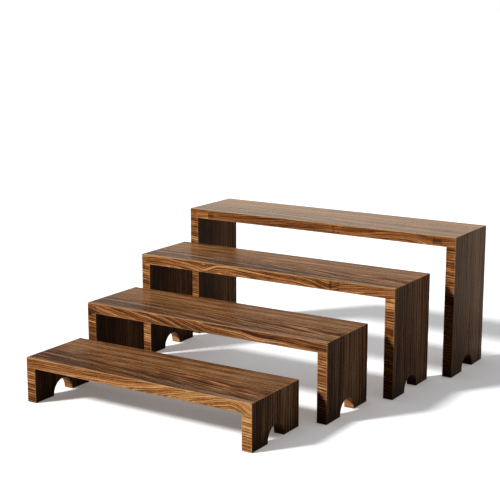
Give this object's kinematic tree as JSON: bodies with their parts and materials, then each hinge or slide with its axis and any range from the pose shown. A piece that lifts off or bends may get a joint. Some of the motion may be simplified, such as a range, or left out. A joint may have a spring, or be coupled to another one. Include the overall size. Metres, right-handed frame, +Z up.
{
  "type": "tiered display riser",
  "caption": "Walnut display riser set: loose mitred tiers of rising height on arched side boards, standing in steps to show goods and sized to nest.",
  "frame": {"origin": "on the floor under the middle of the whole set, which is also the middle of the tallest tier's length", "axes": "+X along the tiers' length to the right, +Y from the lowest tier at the front to the tallest at the back, +Z up"},
  "size_m": [0.61, 0.69, 0.275],
  "materials": {
    "walnut_top": "oiled walnut, lengthwise grain, satin",
    "walnut_side": "oiled walnut, upright grain, satin",
    "beech_biscuit": "raw pressed beech"
  },
  "bodies": {
    "tier_1": {"tier_1_top_board": "walnut_top", "tier_1_left_side_board": "walnut_side", "tier_1_left_biscuit_1": "beech_biscuit", "tier_1_left_biscuit_2": "beech_biscuit", "tier_1_right_side_board": "walnut_side", "tier_1_right_biscuit_1": "beech_biscuit", "tier_1_right_biscuit_2": "beech_biscuit"},
    "tier_2": {"tier_2_top_board": "walnut_top", "tier_2_left_side_board": "walnut_side", "tier_2_left_biscuit_1": "beech_biscuit", "tier_2_left_biscuit_2": "beech_biscuit", "tier_2_right_side_board": "walnut_side", "tier_2_right_biscuit_1": "beech_biscuit", "tier_2_right_biscuit_2": "beech_biscuit"},
    "tier_3": {"tier_3_top_board": "walnut_top", "tier_3_left_side_board": "walnut_side", "tier_3_left_biscuit_1": "beech_biscuit", "tier_3_left_biscuit_2": "beech_biscuit", "tier_3_right_side_board": "walnut_side", "tier_3_right_biscuit_1": "beech_biscuit", "tier_3_right_biscuit_2": "beech_biscuit"},
    "tier_4": {"tier_4_top_board": "walnut_top", "tier_4_left_side_board": "walnut_side", "tier_4_left_biscuit_1": "beech_biscuit", "tier_4_left_biscuit_2": "beech_biscuit", "tier_4_right_side_board": "walnut_side", "tier_4_right_biscuit_1": "beech_biscuit", "tier_4_right_biscuit_2": "beech_biscuit"}
  },
  "joints": [
    {"name": "tier_3_draw", "type": "slide", "parent": "tier_4", "child": "tier_3", "axis": [0, -1, 0], "range_m": [-0.029, 0.15]},
    {"name": "tier_2_draw", "type": "slide", "parent": "tier_3", "child": "tier_2", "axis": [0, -1, 0], "range_m": [-0.029, 0.15]},
    {"name": "tier_1_draw", "type": "slide", "parent": "tier_2", "child": "tier_1", "axis": [0, -1, 0], "range_m": [-0.029, 0.15]}
  ]
}
